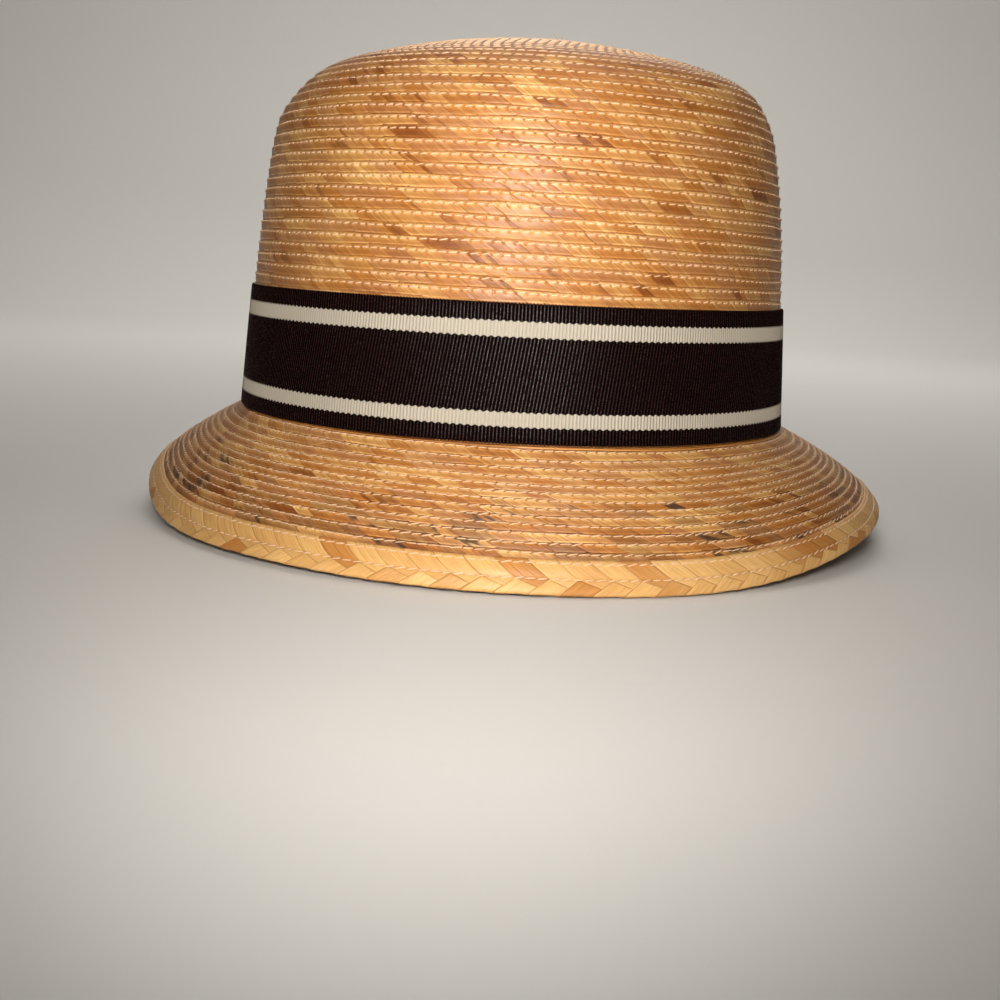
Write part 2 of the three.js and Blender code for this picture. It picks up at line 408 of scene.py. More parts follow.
def brim_surface(course, azimuth, offset=0.0):
    """Points of the brim's face at shares of its courses, and their outward directions."""
    step = 0.02
    course, azimuth = np.broadcast_arrays(np.asarray(course, float), azimuth)
    further, nearer = np.minimum(course + step, 2), np.maximum(course - step, 0)
    away = brim_face(further, azimuth) - brim_face(nearer, azimuth)
    around = brim_face(course, azimuth + step) - brim_face(course, azimuth - step)
    outward = np.cross(away, around)
    outward /= np.linalg.norm(outward, axis=-1, keepdims=True)
    return brim_face(course, azimuth) + outward * np.asarray(offset)[..., None], outward


def hat_origin():
    """The middle of the crown's foot in the frame, in metres."""
    low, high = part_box("crown")
    return np.array([(low.x + high.x) / 2, (low.y + high.y) / 2, low.z])


# Meshes

def add_object(name, data):
    """Adds an object to the scene."""
    made = bpy.data.objects.new(name, data)
    bpy.context.collection.objects.link(made)
    return made


def pattern(here, there, top, bottom):
    """The four pattern corners of quads that run along from here to there, and across from top to bottom."""
    here, there, top, bottom = np.broadcast_arrays(here, there, top, bottom)
    corners = ((here, top), (here, bottom), (there, bottom), (there, top))
    return np.stack([np.stack(corner, -1) for corner in corners], -2)


class Shell:
    """Grids of points gathered into one skin, with the values that its relief and its pattern need."""

    def __init__(self):
        self.points, self.outward, self.across, self.relief, self.along = [], [], [], [], []
        self.faces, self.corners = [], []
        self.count = 0

    def add(self, points, outward, across=0.0, relief=0.0, along=0.0):
        """Adds rows of points and returns their numbers in the same rows."""
        shape = points.shape[:-1]
        ids = np.arange(self.count, self.count + points[..., 0].size).reshape(shape)
        self.count += ids.size
        self.points.append(points.reshape(-1, 3))
        self.outward.append(np.broadcast_to(outward, points.shape).reshape(-1, 3))
        for store, value in ((self.across, across), (self.relief, relief), (self.along, along)):
            store.append(np.broadcast_to(value, shape).reshape(-1))
        return ids

    def quads(self, a, b, c, d, corners, flip=False):
        """Adds the quads a, b, c, d with their pattern corners, turned over where flip says so."""
        face = np.stack([a, b, c, d], -1).reshape(-1, 4)
        corner = corners.reshape(-1, 4, 2)
        if flip:
            face, corner = face[:, ::-1], corner[:, ::-1]
        self.faces.append(face)
        self.corners.append(corner)

    def strip(self, upper, lower):
        """Joins two closed rings where nothing shows."""
        place = np.arange(len(upper), dtype=float)
        corners = pattern(place, place + 1, 0.5, 0.5)
        self.quads(upper, lower, np.roll(lower, -1), np.roll(upper, -1), corners)

    def tube(self, rows, shares, along):
        """Joins rows of points round a closed section: each to the next one, and the last to the first."""
        for i, row in enumerate(rows):
            after = (i + 1) % len(rows)
            corners = pattern(along[:-1], along[1:], shares[i], shares[after])
            self.quads(row[:-1], rows[after][:-1], rows[after][1:], row[1:], corners)

    def build(self, name, fill=False):
        """Makes the mesh object, with doubled points merged and, where fill says so, open ends closed."""
        faces, corners = np.concatenate(self.faces), np.concatenate(self.corners)
        points = np.concatenate(self.points) * MM + hat_origin()
        mesh = bpy.data.meshes.new(name)
        mesh.from_pydata(points, [], faces)
        mesh.uv_layers.new(name="braid").data.foreach_set("uv", corners.astype(np.float32).ravel())
        for label, values in (("across", self.across), ("relief", self.relief), ("along", self.along)):
            layer = mesh.attributes.new(label, "FLOAT", "POINT")
            layer.data.foreach_set("value", np.concatenate(values).astype(np.float32))
        layer = mesh.attributes.new("outward", "FLOAT_VECTOR", "POINT")
        layer.data.foreach_set("vector", np.concatenate(self.outward).astype(np.float32).ravel())
        work = bmesh.new()
        work.from_mesh(mesh)
        bmesh.ops.remove_doubles(work, verts=work.verts, dist=1e-6)
        if fill:
            bmesh.ops.holes_fill(work, edges=[edge for edge in work.edges if edge.is_boundary])
        work.to_mesh(mesh)
        work.free()
        return add_object(name, mesh)


def waver(turn, share):
    """How far a hand-sewn course strays from its even place, in courses."""
    def stray(place):
        return sum(size * np.sin(TURN * waves * place + start) for size, waves, start in COURSE_WAVER)
    return stray(turn) * (1 - share) + stray(turn + 1) * share


Line = namedtuple("Line", "turns points outward length")


def stitch_line(surface, share, first, last):
    """A line of thread from turn first to turn last of the spiral."""
    turns = np.linspace(first, last, int((last - first) * LINE_POINTS) + 1)
    place = turns + share + waver(turns, share)
    points, outward = surface(place, SPIRAL_START + TURN * turns, STITCH_LIFT)
    return Line(turns, points, outward, lengths_along(points))


def spiral(shell, surface, courses, rows, columns, offset, relief, line, inward=False):
    """Lays a spiral braid over a surface: rows across each course, columns round the hat."""
    count = math.ceil(courses) + 2
    course = np.repeat(np.arange(-1, count - 1), len(rows))
    share = np.tile(rows, count)
    turn = np.arange(columns) / columns
    place = (course + share)[:, None] + turn + waver(course[:, None] + turn, share[:, None])
    free = (place > 0) & (place < courses)
    points, outward = surface(np.clip(place, 0, courses), SPIRAL_START + TURN * turn, offset)
    ids = shell.add(points, outward, share[:, None], relief * free)
    # The last column runs on into the first one, a course further down.
    after = np.roll(ids, -1, axis=1)
    after[:-len(rows), -1] = ids[len(rows):, 0]
    after[-len(rows):, -1] = ids[-1, 0]
    here = np.interp(course[:-1, None] + turn, line.turns, line.length)
    there = np.interp(course[:-1, None] + turn + 1 / columns, line.turns, line.length)
    place = (course + share + (INSIDE_MARK if inward else 0))[:, None]
    corners = pattern(here, there, place[:-1], place[1:])
    shell.quads(ids[:-1], ids[1:], after[1:], after[:-1], corners, inward)
    return ids[0], ids[-1]


# Node trees

class Socket:
    """An output of a node that works in Python expressions."""

    def __init__(self, graph, output):
        self.graph, self.output = graph, output

    def of(self, name):
        return Socket(self.graph, self.output.node.outputs[name])

    def __add__(self, other):
        return self.graph.maths("ADD", self, other)

    def __sub__(self, other):
        return self.graph.maths("SUBTRACT", self, other)

    def __rsub__(self, other):
        return self.graph.maths("SUBTRACT", other, self)

    def __mul__(self, other):
        return self.graph.maths("MULTIPLY", self, other)

    def __truediv__(self, other):
        return self.graph.maths("DIVIDE", self, other)

    def __rtruediv__(self, other):
        return self.graph.maths("DIVIDE", other, self)

    def __pow__(self, other):
        return self.graph.maths("POWER", self, other)

    def __rpow__(self, other):
        return self.graph.maths("POWER", other, self)

    def __gt__(self, other):
        return self.graph.maths("GREATER_THAN", self, other)

    def __lt__(self, other):
        return self.graph.maths("LESS_THAN", self, other)

    def __abs__(self):
        return self.graph.maths("ABSOLUTE", self)

    __radd__, __rmul__ = __add__, __mul__


def plain(colour):
    """A colour that a colour socket takes, unless it is a link."""
    return colour if isinstance(colour, Socket) else (*colour, 1)


class Graph:
    """Makes the nodes of one tree."""

    def __init__(self, tree):
        self.tree = tree

    def node(self, kind, settings=(), inputs=(), output=0):
        """One node: its settings first, then its sockets' values or links. Returns one of its outputs."""
        node = self.tree.nodes.new(kind)
        for name, value in dict(settings).items():
            if name == "stops":
                ramp = node.color_ramp.elements
                while len(ramp) < len(value):
                    ramp.new(0.5)
                for stop, (place, colour) in zip(ramp, value):
                    stop.position = place
                    stop.color = plain(colour)
            elif name == "curve":
                line = node.mapping.curves[0]
                while len(line.points) < len(value):
                    line.points.new(0.5, 0.5)
                for dot, spot in zip(line.points, value):
                    dot.location = spot
                node.mapping.update()
            else:
                setattr(node, name, value)
        for name, value in dict(inputs).items():
            if isinstance(value, Socket):
                self.tree.links.new(value.output, node.inputs[name])
            else:
                node.inputs[name].default_value = value
        return Socket(self, node.outputs[output]) if node.outputs else node

    def maths(self, operation, *values):
        return self.node("ShaderNodeMath", {"operation": operation}, dict(enumerate(values)))

    def least(self, *values):
        found = values[0]
        for value in values[1:]:
            found = self.maths("MINIMUM", found, value)
        return found

    def floor(self, value):
        return self.maths("FLOOR", value)

    def fraction(self, value):
        return self.maths("FRACT", value)

    def ramp(self, value, low, high):
        """0 below low, 1 above high, and smooth between them."""
        settings = {"interpolation_type": "SMOOTHSTEP"}
        return self.node("ShaderNodeMapRange", settings, {"Value": value, "From Min": low, "From Max": high})

    def fade(self, value, low, high):
        """1 below low, 0 above high, and smooth between them."""
        return 1 - self.ramp(value, low, high)

    def curve(self, value, points):
        return self.node("ShaderNodeFloatCurve", {"curve": points}, {"Value": value})

    def vector(self, x=0.0, y=0.0, z=0.0):
        return self.node("ShaderNodeCombineXYZ", (), {"X": x, "Y": y, "Z": z})

    def here(self):
        return self.node("ShaderNodeTexCoord", (), (), "Object")

    def noise(self, vector, scale, detail=2.0, rough=0.5, dimensions="3D"):
        inputs = {"Vector": vector, "Scale": scale, "Detail": detail, "Roughness": rough}
        return self.node("ShaderNodeTexNoise", {"noise_dimensions": dimensions}, inputs)

    def flat_noise(self, x, y, detail=1.0, rough=0.5):
        return self.noise(self.vector(x, y), 1.0, detail, rough, "2D")

    def fibres(self, x, y):
        """Fine streaks from 0 to 1: x runs across them."""
        return self.ramp(self.flat_noise(x, y, 2.0, 0.6), 0.3, 0.7)

    def chance(self, x, y):
        """A random number from 0 to 1 for each pair of whole numbers, and three more as its colour."""
        inputs = {"Vector": self.vector(x + 0.5, y + 0.5)}
        return self.node("ShaderNodeTexWhiteNoise", {"noise_dimensions": "2D"}, inputs)

    def split(self, chance):
        """The red, green and blue of a random colour."""
        colour = self.node("ShaderNodeSeparateColor", (), {"Color": chance.of("Color")})
        return colour.of("Red"), colour.of("Green"), colour.of("Blue")

    def colours(self, share, stops):
        """A colour from a row of stops."""
        return self.node("ShaderNodeValToRGB", {"stops": stops}, {"Fac": share})

    def blend(self, share, first, second):
        """Two colours mixed."""
        inputs = {0: share, 6: plain(first), 7: plain(second)}
        return self.node("ShaderNodeMix", {"data_type": "RGBA"}, inputs, 2)

    def scaled(self, colour, amount):
        """A colour made darker or lighter by a number, or a direction made longer."""
        inputs = {0: colour if isinstance(colour, Socket) else tuple(colour), "Scale": amount}
        return self.node("ShaderNodeVectorMath", {"operation": "SCALE"}, inputs)

    def warm_shade(self, colour, amount):
        """A colour made darker, and deeper as straw is where light reaches it by way of other straw."""
        tint = self.vector(amount ** 0.82, amount ** 1.25, amount ** 1.85)
        return self.node("ShaderNodeVectorMath", {"operation": "MULTIPLY"}, {0: colour, 1: tint})

    def named(self, name, kind="FLOAT"):
        """A value that the points of the mesh carry."""
        return self.node("GeometryNodeInputNamedAttribute", {"data_type": kind}, {"Name": name})


def new_material(name):
    """An empty material and the graph that makes its nodes."""
    material = bpy.data.materials.new(name)
    material.use_nodes = True
    material.node_tree.nodes.clear()
    return material, Graph(material.node_tree)


def finish_material(graph, colour, roughness, height, constants=()):
    """The shader of a material: colour, roughness and relief vary, and the constants hold all over."""
    inputs = {"Base Color": colour, "Roughness": roughness, **dict(constants)}
    if height is not None:
        relief = graph.node("ShaderNodeBump", (), {"Strength": 1.0, "Distance": MM, "Height": height})
        inputs["Normal"] = relief
    shader = graph.node("ShaderNodeBsdfPrincipled", (), inputs)
    graph.node("ShaderNodeOutputMaterial", (), {"Surface": shader})


def braid_corner(graph):
    """Millimetres along the braid and the place across it, from the mesh's own map."""
    split = graph.node(
        "ShaderNodeSeparateXYZ", (), {"Vector": graph.node("ShaderNodeUVMap", {"uv_map": "braid"})}
    )
    return split.of("X"), split.of("Y")


# Materials

class Strands:
    """Where a point of the braid lies: in which course, strand and strip, and how far from their edges."""

    def __init__(self, graph, strand):
        self.u, self.v = braid_corner(graph)
        self.course = graph.floor(self.v)
        self.across = self.v - self.course
        # Strands slant down to the right and flatten towards their lower end.
        self.slant = self.u - self.across * (STRAND_SLANT + STRAND_SWEEP * self.across)
        drift = graph.flat_noise(self.slant * 0.085, self.course * 3.7)
        place = self.slant / strand + STRAND_DRIFT * drift
        self.number = graph.floor(place)
        share = place - self.number
        self.luck = graph.chance(self.number, self.course)
        _, self.stain_luck, strip_share = graph.split(self.luck)
        strips = graph.floor(strip_share * STRIP_COUNT) + 1.0
        strip = graph.floor(share * strips)
        self.strip_luck = graph.chance(self.number * 7.0 + strip, self.course)
        self.edge = graph.least(share, 1 - share) * strand
        strip_place = share * strips - strip
        self.strip_start = strip_place * (strand / strips)
        self.strip_edge = graph.least(strip_place, 1 - strip_place) * (strand / strips)


def strand_colour(graph, spot, straw, paleness, dark):
    """Each strand has its own colour, in broad patches, and some are rosy, smoky or stained."""
    patch = graph.noise(graph.here(), 24.0, 2.0, 0.6)
    tone = paleness + (0.8 + 0.25 * dark) * (spot.luck - 0.5) + 0.28 * (spot.strip_luck - 0.5)
    tone = tone + 0.95 * (patch - 0.5) - 0.14 * dark
    colour = graph.colours(tone, (
        (0.0, straw.brown), (0.13, straw.brown), (0.3, straw.tan), (0.53, straw.tan),
        (0.72, straw.honey), (0.88, straw.honey), (1.0, straw.pale),
    ))
    rosy = graph.ramp(graph.fraction(spot.luck * 7.3), 0.6, 0.75)
    colour = graph.blend(rosy * 0.65, colour, straw.rose)
    smoky = graph.ramp(graph.fraction(spot.luck * 17.9), 0.55, 0.8) * dark
    colour = graph.blend(smoky * 0.36, colour, straw.dark)
    blot = graph.flat_noise(spot.slant * 0.3, spot.across * 0.9 + spot.course * 5.3)
    stained = graph.ramp(spot.stain_luck - 0.012 + 0.12 * dark, 0.975, 1.0) * graph.ramp(blot, 0.42, 0.64)
    return graph.blend(stained * 0.85, colour, straw.dark)


def straw_material(name, settings, pitch, stitch_share, paleness, dusk):
    """Braid of slanting strands, with a stitch at each pitch and darker strands where dusk says so.

    Its ramps are given in millimetres, or in shares of a course, a strand or a random number.
    """
    width = settings.braid.course_pitch / MM
    material, graph = new_material(name)
    spot = Strands(graph, settings.braid.strand / MM)
    across, luck, dark = spot.across, spot.luck, dusk(graph, spot.v)
    # Fibres run along a strand, and a coarser grain along the course.
    fibre = graph.fibres(spot.slant * 1.7, across * 0.6 + spot.number * 3.1)
    grain = graph.fibres(spot.u * 0.45, spot.v * 4.3)
    # Painted shade in grooves between some strands, lighter or darker slits between strips, painted
    # highlights on some strips.
    groove = graph.fade(spot.edge, 0.05, 0.26) * graph.ramp(graph.fraction(luck * 29.3), 0.25, 0.95)
    slit = graph.fade(spot.strip_edge, 0.04, 0.2)
    strip_highlight = graph.ramp(spot.strip_start, 0.16, 0.3) * graph.fade(spot.strip_start, 0.36, 0.55)
    strip_highlight = strip_highlight * graph.ramp(spot.strip_luck, 0.35, 0.9)
    # Painted shade in the crease where each strand ends, a painted highlight on its lip, the next course's
    # straw past it.
    reach = 0.88 + 0.11 * graph.fraction(luck * 13.7) - 0.06 * graph.fade(spot.edge, 0.0, 0.8)
    past = graph.ramp((across - reach) * width, 0.0, 0.1)
    crease = graph.fade(abs(across - reach) * width, 0.03, 0.2)
    lip = graph.ramp(reach - across, 0.02, 0.06) * graph.fade(reach - across, 0.1, 0.2)
    # The thread's holes, with painted shade in them and on the straw puckered between them.
    hole = abs(graph.fraction(spot.u / pitch) - 0.5) * pitch
    away = abs(across - stitch_share) * width
    pucker = graph.fade(hole, 0.1, 0.8) * graph.fade(away, 0.15, 0.75)
    dot = graph.fade(hole, 0.12, 0.42) * graph.fade(away, 0.12, 0.4)
    # Noise patches that set how strong the painted crease shade, lip highlight and hole shade are.
    patchy_or_old = graph.ramp(graph.noise(graph.here(), 60.0, 1.0), 0.3, 0.7)
    shade = (0.82 + 0.34 * fibre + 0.12 * grain) * (1 - 0.36 * groove)
    shade = shade * (1 + slit * (1.05 * spot.strip_luck - 0.5 - 0.18 * dark)) * (1 + 0.34 * strip_highlight)
    # Painted light and shade across the course, from its top edge to its crease.
    shade = shade * graph.curve(across, COURSE_PAINTED_LIGHT)
    shade = shade * (1 - (0.64 + 0.2 * dark) * crease * (0.9 * patchy_or_old + 0.1 + 0.35 * dark))
    shade = shade * (1 + (0.06 + 0.34 * patchy_or_old) * lip) * (1 - 0.13 * pucker) * (1 - 0.5 * dot * patchy_or_old)
    colour = strand_colour(graph, spot, settings.straw, paleness, dark)
    colour = graph.warm_shade(graph.blend(past * 0.5, colour, settings.straw.honey), shade)
    # Inside the hat the lower thread of each seam shows as flat dashes.
    dash = (spot.v > INSIDE_MARK / 2) * graph.ramp(hole, 0.35, 0.5) * graph.fade(away, 0.22, 0.34)
    colour = graph.blend(dash, colour, settings.thread.colour)
    height = 0.06 * graph.ramp(spot.edge, 0.0, 1.3) + 0.03 * fibre + 0.03 * grain - 0.04 * groove
    height = height - 0.02 * slit - 0.2 * pucker - 0.12 * past - 0.04 * crease + 0.1 * dash
    finish_material(graph, colour, 0.36 + 0.16 * grain, height, {"Specular IOR Level": 0.45})
    return material


def edge_material(name, settings):
    """Wide flat braid: strands that slant down to the right above, and fold back to the left below."""
    straw, strand = settings.straw, settings.braid.edge_strand / MM
    material, graph = new_material(name)
    u, v = braid_corner(graph)
    y = v * EDGE_WIDTH
    u = u + 3.0 * graph.flat_noise(u * 0.05, 3.0)
    rise = y - EDGE_MIDDLE
    way_back = (u + EDGE_BACK_SLOPE * (y - EDGE_WIDTH)) / strand
    column = graph.floor(way_back)
    apex = EDGE_BACK_SLOPE * (EDGE_WIDTH - EDGE_MIDDLE)
    beyond = u - column * strand - apex - EDGE_FOLD_SLOPE * rise
    above = graph.maths("MAXIMUM", beyond > 0.0, rise < 0.0)
    bend = EDGE_DOWN_SLOPE * graph.least(rise, 0.0) + EDGE_FOLD_SLOPE * graph.maths("MAXIMUM", rise, 0.0)
    way_down = (u - bend - apex) / strand
    row = graph.floor(way_down)
    number = above * row + (1 - above) * column
    share = above * (way_down - row) + (1 - above) * (way_back - column)
    luck = graph.chance(number, above)
    _, tan_luck, strip_share = graph.split(luck)
    # Most strands are pale, in broad patches, and a few are tan.
    patch = graph.noise(graph.here(), 22.0, 2.0)
    tone = 0.64 + 0.6 * (luck - 0.5) + 0.8 * (patch - 0.5) - 0.5 * graph.ramp(tan_luck, 0.8, 0.87)
    colour = graph.colours(tone, (
        (0.0, straw.tan), (0.12, straw.tan), (0.24, straw.honey), (0.42, straw.pale),
        (0.7, straw.pale), (0.9, straw.cream), (1.0, straw.cream),
    ))
    # Painted shade in the slits between strips, the grooves round the strands and the low seam along the
    # fold.
    strips = graph.floor(strip_share * 3.0) + 1.0
    inner = graph.fraction(share * strips)
    slit = graph.fade(graph.least(inner, 1 - inner) * strand / strips, 0.06, 0.24) * (tan_luck > 0.4)
    edge = graph.least(share * strand, (1 - share) * strand, abs(beyond) + 20.0 * (rise < 0.0))
    groove = graph.fade(edge, 0.06, 0.28)
    seam = graph.fade(abs(rise), 0.1, 0.6)
    along = above * (u - bend) + (1 - above) * (u + EDGE_BACK_SLOPE * y)
    fibre = graph.fibres(along * 2.0, y * 0.2 + number)
    shade = (0.88 + 0.2 * fibre) * (1 - (0.32 - 0.16 * above) * groove)
    shade = shade * (1 - 0.14 * slit) * (1 - 0.12 * seam)
    height = 0.12 * graph.ramp(edge, 0.0, 1.2) + 0.04 * fibre - 0.05 * groove - 0.03 * slit - 0.06 * seam
    colour = graph.warm_shade(colour, shade)
    finish_material(graph, colour, 0.36 + 0.14 * fibre, height, {"Specular IOR Level": 0.4})
    return material


def ribbon_material(name, settings):
    """Ribbed ribbon: u is millimetres along it and v the share of its width from the upper edge."""
    sizes = settings.ribbon
    rib, width = sizes.rib / MM, sizes.width / MM
    material, graph = new_material(name)
    u, v = braid_corner(graph)
    wave = graph.maths("COSINE", u * (TURN / rib))
    scallop = graph.maths("COSINE", u * (math.pi / rib))
    stripe = 0.0
    for top, bottom in RIBBON_STRIPES:
        inside = graph.least((v - top) * width, (bottom - v) * width) + 0.2 * scallop
        stripe = stripe + graph.ramp(inside, -0.08, 0.08)
    across = v * width
    cross = graph.maths("SINE", across * (TURN / RIBBON_WEFT) + graph.floor(u / rib * 2.0) * math.pi)
    grain = graph.flat_noise(u * 2.1, across * 3.3, 2.0, 0.7)
    # Flecks of lighter thread on the ribs' crests, partly a painted highlight.
    spark = graph.ramp(grain, 0.45, 0.78) * graph.ramp(wave, 0.1, 0.9)
    # Ground and stripes are lighter on the ribs' crests and darker in their valleys, as painted light and
    # shade.
    ground = graph.scaled(graph.blend(spark, sizes.dark, sizes.fleck), 0.55 + 0.5 * wave + 0.2 * cross)
    ivory = graph.scaled(sizes.ivory, 0.88 + 0.08 * wave + 0.09 * cross)
    colour = graph.blend(stripe, ground, ivory)
    # Only the ribs' crests shine, unevenly, as their threads do.
    shine = graph.ramp(wave, 0.0, 1.0) * graph.ramp(grain, 0.36, 0.66) * (0.6 + 0.4 * cross) * (1 - stripe)
    height = 0.05 * wave + 0.03 * cross + 0.04 * grain
    finish_material(graph, colour, 0.7 + 0.1 * grain, height, {
        "Specular IOR Level": 0.03, "Coat Weight": shine, "Coat Roughness": 0.4,
    })
    return material


def thread_material(name, settings):
    """Soft twisted thread."""
    material, graph = new_material(name)
    here = graph.here()
    twist, soft = graph.noise(here, 3200.0, 1.0), graph.noise(here, 90.0, 2.0)
    colour = graph.scaled(settings.thread.colour, 0.78 + 0.25 * twist + 0.2 * soft)
    finish_material(graph, colour, 0.5 + 0.15 * twist, 0.05 * twist, {"Specular IOR Level": 0.4})
    return material


def splinter_material(name, settings):
    """A bare straw end, streaked by its fibres."""
    material, graph = new_material(name)
    fibre = graph.noise(graph.here(), 900.0, 2.0)
    colour = graph.scaled(settings.straw.pale, 0.8 + 0.4 * fibre)
    finish_material(graph, colour, 0.4 + 0.2 * fibre, 0.03 * fibre)
    return material


def floor_material(name, colour):
    """The floor's finish, with the faintest unevenness."""
    material, graph = new_material(name)
    cloud = graph.noise(graph.here(), 3.0, 2.0)
    finish_material(graph, graph.scaled(colour, 0.98 + 0.04 * cloud), 0.85, None)
    return material


# Geometry trees

def new_tree(name, inputs):
    """A geometry tree with named inputs. Returns its graph and the inputs as sockets."""
    tree = bpy.data.node_groups.new(name, "GeometryNodeTree")
    tree.interface.new_socket("Geometry", in_out="INPUT", socket_type="NodeSocketGeometry")
    for label, kind in inputs:
        tree.interface.new_socket(label, in_out="INPUT", socket_type=kind)
    tree.interface.new_socket("Geometry", in_out="OUTPUT", socket_type="NodeSocketGeometry")
    graph = Graph(tree)
    return graph, graph.node("NodeGroupInput")


def finish_tree(graph, geometry, finish):
    """Ends a geometry tree with plain geometry in its finish."""
    smooth = graph.node("GeometryNodeSetShadeSmooth", (), {"Geometry": geometry})
    real = graph.node("GeometryNodeRealizeInstances", (), {"Geometry": smooth})
    done = graph.node("GeometryNodeSetMaterial", (), {"Geometry": real, "Material": finish})
    graph.node("NodeGroupOutput", (), {"Geometry": done})
    return graph.tree


def move_out(graph, given, reach):
    """Moves each point along its outward direction."""
    move = graph.scaled(graph.named("outward", "FLOAT_VECTOR"), reach)
    return graph.node("GeometryNodeSetPosition", (), {"Geometry": given, "Offset": move})


def relief_tree():
    """Raises the courses of a braid by the form of a course."""
    graph, given = new_tree("raise the courses", (("Finish", "NodeSocketMaterial"),))
    form = [(share, 1 + depth) for share, depth in COURSE_FORM]
    reach = (graph.curve(graph.named("across"), form) - 1.0) * graph.named("relief") * MM
    return finish_tree(graph, move_out(graph, given, reach), given.of("Finish"))


def rib_tree():
    """Raises the ribs of the ribbon: a wave along it."""
    graph, given = new_tree("raise the ribs", (("Rib", "NodeSocketFloat"), ("Finish", "NodeSocketMaterial")))
    wave = graph.maths("COSINE", graph.named("along") * TURN / given.of("Rib"))
    reach = (wave - 1.0) * graph.named("relief") * (MM / 2)
    return finish_tree(graph, move_out(graph, given, reach), given.of("Finish"))


def stitch_tree():
    """Sews along lines of thread: a stitch at each step, each a little different."""
    graph, given = new_tree("sew along the lines", (
        ("Stitch", "NodeSocketObject"), ("Count", "NodeSocketInt"), ("Tilt", "NodeSocketFloat"),
        ("Wander", "NodeSocketFloat"), ("Seed", "NodeSocketInt"), ("Finish", "NodeSocketMaterial"),
    ))
    line = graph.node("GeometryNodeMeshToCurve", (), {"Mesh": given})
    steps = graph.node("GeometryNodeResampleCurve", (), {"Curve": line, "Count": given.of("Count")})
    forward = graph.node("GeometryNodeInputTangent")
    turned = graph.node("FunctionNodeAlignRotationToVector", {"axis": "X"}, {"Vector": forward})
    upright = graph.node(
        "FunctionNodeAlignRotationToVector", {"axis": "Z", "pivot_axis": "X"},
        {"Rotation": turned, "Vector": graph.named("outward", "FLOAT_VECTOR")},
    )
    wander = given.of("Wander")
    swing = graph.node("FunctionNodeRandomValue", {"data_type": "FLOAT"}, {
        2: 0.0 - wander, 3: wander, "Seed": given.of("Seed"),
    }, 1)
    tilt = graph.vector(0.0, 0.0, swing + given.of("Tilt"))
    turn = graph.node("FunctionNodeEulerToRotation", (), {"Euler": tilt})
    leaning = graph.node(
        "FunctionNodeRotateRotation", {"rotation_space": "LOCAL"}, {"Rotation": upright, "Rotate By": turn}
    )
    size = graph.node("FunctionNodeRandomValue", {"data_type": "FLOAT_VECTOR"}, {
        0: (0.84, 0.85, 0.8), 1: (1.1, 1.15, 1.2), "Seed": given.of("Seed"),
    }, 0)
    # In patches the thread is drawn flatter into the straw.
    place = graph.node("GeometryNodeInputPosition")
    depth = graph.vector(1.0, 1.0, 0.45 + 0.75 * graph.ramp(graph.noise(place, 34.0, 2.0), 0.3, 0.62))
    size = graph.node("ShaderNodeVectorMath", {"operation": "MULTIPLY"}, {0: size, 1: depth})
    stitch = graph.node("GeometryNodeObjectInfo", (), {"Object": given.of("Stitch")}, "Geometry")
    sewn = graph.node("GeometryNodeInstanceOnPoints", (), {
        "Points": steps, "Instance": stitch, "Rotation": leaning, "Scale": size,
    })
    return finish_tree(graph, sewn, given.of("Finish"))


def splinter_tree():
    """Turns lines into straw ends that taper to a point."""
    inputs = (("Thickness", "NodeSocketFloat"), ("Finish", "NodeSocketMaterial"))
    graph, given = new_tree("taper the ends", inputs)
    line = graph.node("GeometryNodeMeshToCurve", (), {"Mesh": given})
    share = graph.node("GeometryNodeSplineParameter")
    radius = (1.05 - share) * given.of("Thickness")
    ring = graph.node("GeometryNodeCurvePrimitiveCircle", (), {"Resolution": 4, "Radius": 1.0})
    straw = graph.node("GeometryNodeCurveToMesh", (), {
        "Curve": line, "Profile Curve": ring, "Scale": radius, "Fill Caps": True,
    })
    return finish_tree(graph, straw, given.of("Finish"))


def apply_tree(piece, tree, values):
    """Runs a geometry tree on a piece, keeps the result as its plain mesh and drops the modifier."""
    modifier = piece.modifiers.new(tree.name, "NODES")
    modifier.node_group = tree
    for item in tree.interface.items_tree:
        if item.in_out == "INPUT" and item.name in values:
            modifier[item.identifier] = values[item.name]
    bpy.context.view_layer.update()
    graph = bpy.context.evaluated_depsgraph_get()
    made = bpy.data.meshes.new_from_object(piece.evaluated_get(graph), depsgraph=graph)
    piece.modifiers.remove(modifier)
    patchy_or_old = piece.data
    piece.data = made
    bpy.data.meshes.remove(patchy_or_old)
    made.name = piece.name
    for name in ("across", "relief", "along", "outward"):
        if name in made.attributes:
            made.attributes.remove(made.attributes[name])


def show(piece, slot, *nodes):
    """Gives a finished piece its body and hides the solids that it stands for. Its slot is not used."""
    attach(piece, "root")
    if nodes:
        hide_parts(*nodes)


# Pieces

def crown_spiral(place, azimuth, offset=0.0):
    """The crown's face, its places counted in courses from the centre of the tip."""
    pitch = bpy.context.scene.straw_hat.braid.course_pitch / MM
    return crown_surface(place * pitch, azimuth, offset)


def brim_spiral(place, azimuth, offset=0.0):
    """The brim's face, its places counted in courses from the ribbon."""
    place = np.interp(place, np.arange(len(BRIM_COURSES)), BRIM_COURSES)
    return brim_surface(place / bpy.context.scene.straw_hat.braid.brim_courses, azimuth, offset)


def crown_line(hidden=False):
    """The thread of the crown, from the middle of the tip to the ribbon or on behind it to the foot."""
    settings = bpy.context.scene.straw_hat
    down = CROWN_LENGTH - (0 if hidden else settings.ribbon.width / MM)
    last = down / (settings.braid.course_pitch / MM) - 0.35
    return stitch_line(crown_spiral, CROWN_STITCH_SHARE, 0.5, last)


